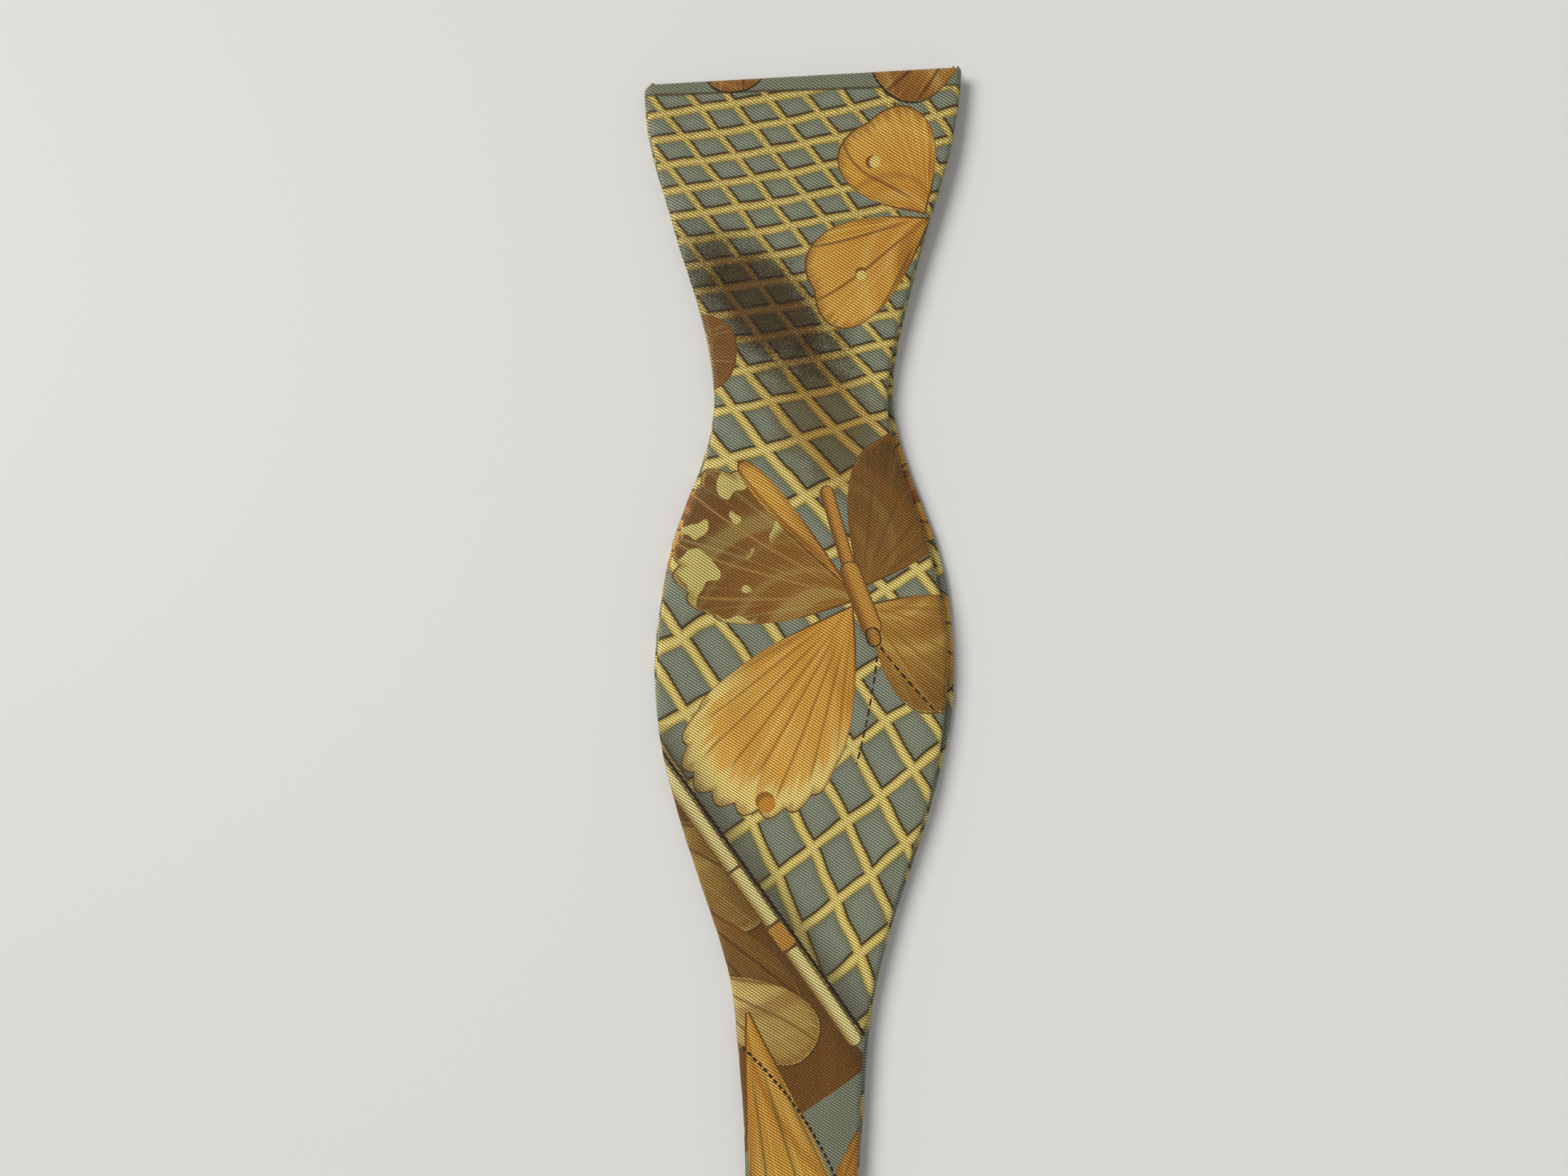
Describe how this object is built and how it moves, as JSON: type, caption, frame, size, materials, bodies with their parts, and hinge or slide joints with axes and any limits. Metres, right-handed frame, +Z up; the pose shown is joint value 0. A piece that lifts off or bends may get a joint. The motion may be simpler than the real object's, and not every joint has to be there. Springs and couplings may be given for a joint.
{
  "type": "self-tie bow tie",
  "caption": "Untied butterfly bow tie folded in half at its hook and eye, with layered silk blades and a slide-adjusted neckband.",
  "frame": {"origin": "under the middle of the folded tie's box, on the surface it lies on", "axes": "+Z up, away from the surface; +Y from the closure towards the blade tips; +X across the blades, to the right when the tips point away"},
  "size_m": [0.0646, 0.4442, 0.0069],
  "materials": {
    "silk_print": "printed silk twill, soft sheen",
    "silk_inside": "the same printed silk twill, on the side that lies inside the fold",
    "interlining": "matt brushed wool and cotton",
    "thread": "satin twisted silk thread",
    "gilt_metal": "polished gilt, lightly worn",
    "label_satin": "woven satin ribbon, blank"
  },
  "bodies": {
    "lower_half": {"lower_front_silk": "silk_print", "lower_back_silk": "silk_inside", "lower_blade_interlining": "interlining", "lower_band_interlining": "interlining", "lower_closing_stitches": "thread", "hook_tack": "thread", "maker_label": "label_satin", "care_label": "label_satin", "hook": "gilt_metal"},
    "eye_ring": {"eye": "gilt_metal", "band_turn": "silk_print", "through_leg": "silk_print", "return_leg": "silk_inside"},
    "upper_half": {"upper_front_silk": "silk_print", "upper_back_silk": "silk_inside", "upper_blade_interlining": "interlining", "upper_band_interlining": "interlining", "upper_closing_stitches": "thread"},
    "slide": {"slide_buckle": "gilt_metal", "end_wrap": "silk_inside", "end_tack": "thread"}
  },
  "joints": [
    {"name": "fold", "type": "hinge", "parent": "lower_half", "child": "eye_ring", "pos_m": [0, -0.22076, 0.0035], "axis": [1, 0, 0], "range_deg": [0, 180]},
    {"name": "neck_size", "type": "slide", "parent": "eye_ring", "child": "upper_half", "axis": [0, 1, 0], "range_m": [-0.03, 0.055], "deforming": ["through_leg"]},
    {"name": "slide_travel", "type": "slide", "parent": "eye_ring", "child": "slide", "axis": [0, 1, 0], "range_m": [-0.055, 0.03], "deforming": ["return_leg"]}
  ],
  "couplings": [
    {"joint": "slide_travel", "follows": "neck_size", "ratio": -1}
  ]
}
